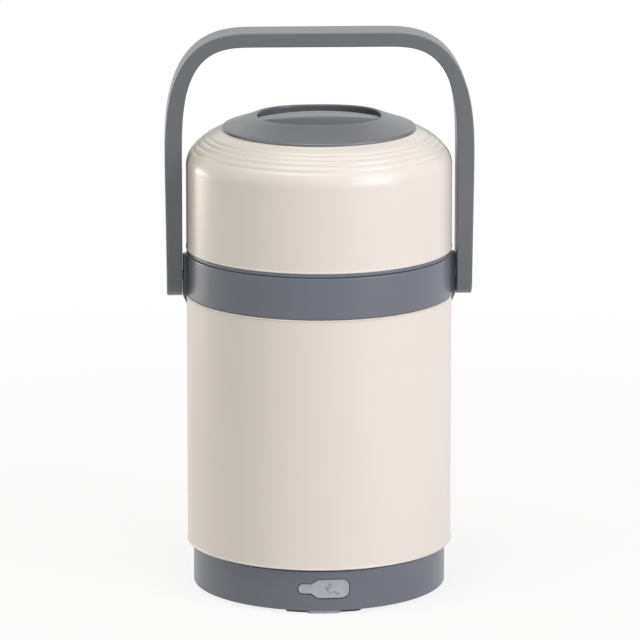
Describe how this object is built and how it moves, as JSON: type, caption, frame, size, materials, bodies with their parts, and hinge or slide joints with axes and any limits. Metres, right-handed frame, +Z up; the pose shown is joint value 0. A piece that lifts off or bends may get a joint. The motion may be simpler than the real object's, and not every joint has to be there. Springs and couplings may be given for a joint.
{
  "type": "electric lunch box",
  "caption": "Tall round insulated electric lunch box: cream shell, grey collar, base and cap, screw-on lid, swinging bail handle, stacked steel bowls and a mains inlet under a rubber flap.",
  "frame": {"origin": "centre of the footprint, on the surface that the feet stand on", "axes": "+Z up; the inlet faces -Y; the handle pivots on the X axis"},
  "size_m": [0.1856, 0.16, 0.3412],
  "materials": {
    "cream_shell": "satin, injection-moulded",
    "grey_trim": "fine satin texture",
    "steel": "drawn stainless steel",
    "silicone": "soft matt",
    "foam": "open foam",
    "screw_steel": "zinc-plated",
    "foot_rubber": "matt",
    "aluminium": "cast, machined face",
    "element_sheath": "dull sheath",
    "black_plastic": "moulded",
    "white_plastic": "moulded",
    "contact_brass": "nickel-tinted",
    "brown_wire": "insulated",
    "blue_wire": "insulated",
    "cover_rubber": "soft matt"
  },
  "bodies": {
    "body": {"outer_shell": "cream_shell", "collar": "grey_trim", "neck_ring": "grey_trim", "pivot_pins": "steel", "inner_pot": "steel", "pot_gasket": "silicone", "pot_insulation": "foam", "base_housing": "grey_trim", "bottom_cover": "grey_trim", "bottom_screws": "screw_steel", "feet": "foot_rubber", "heating_plate": "aluminium", "heater_element": "element_sheath", "heater_clamp": "steel", "clamp_nut": "screw_steel", "thermostat": "black_plastic", "thermal_fuse": "white_plastic", "heat_shield": "steel", "power_inlet": "black_plastic", "inlet_contacts": "contact_brass", "inlet_bracket": "steel", "inlet_screws": "screw_steel", "live_wire": "brown_wire", "neutral_wire": "blue_wire", "cover_tab": "cover_rubber", "bowl_lower": "steel", "bowl_middle": "steel", "bowl_upper": "steel", "bowl_lid_lower": "white_plastic", "bowl_lid_middle": "white_plastic", "bowl_lid_upper": "white_plastic", "bowl_seals": "silicone"},
    "socket_flap": {"cover_flap": "cover_rubber"},
    "lid_seal": {"lid_gasket": "silicone"},
    "lid": {"lid_shell": "cream_shell", "lid_ring": "grey_trim", "lid_cap": "grey_trim", "lid_foam": "foam", "lid_liner": "steel", "lid_screws": "screw_steel", "vent_tube": "silicone"},
    "vent": {"vent_plug": "grey_trim"},
    "bail": {"handle": "grey_trim"}
  },
  "joints": [
    {"name": "handle_swing", "type": "hinge", "parent": "body", "child": "bail", "pos_m": [0, 0, 0.192], "axis": [1, 0, 0], "range_deg": [-130, 130]},
    {"name": "lid_rise", "type": "slide", "parent": "body", "child": "lid_seal", "axis": [0, 0, 1], "range_m": [0, 0.0346]},
    {"name": "lid_turn", "type": "hinge", "parent": "lid_seal", "child": "lid", "pos_m": [0, 0, 0.2064], "axis": [0, 0, 1], "range_deg": [0, 345]},
    {"name": "vent_pull", "type": "slide", "parent": "lid", "child": "vent", "axis": [0, 0, 1], "range_m": [0, 0.003]},
    {"name": "flap_open", "type": "hinge", "parent": "body", "child": "socket_flap", "pos_m": [-0.0076, -0.0763, 0.0156], "axis": [0, 0, -1], "range_deg": [0, 110]}
  ],
  "couplings": [
    {"joint": "lid_rise", "follows": "lid_turn", "m_per_rad": 0.0057296}
  ]
}
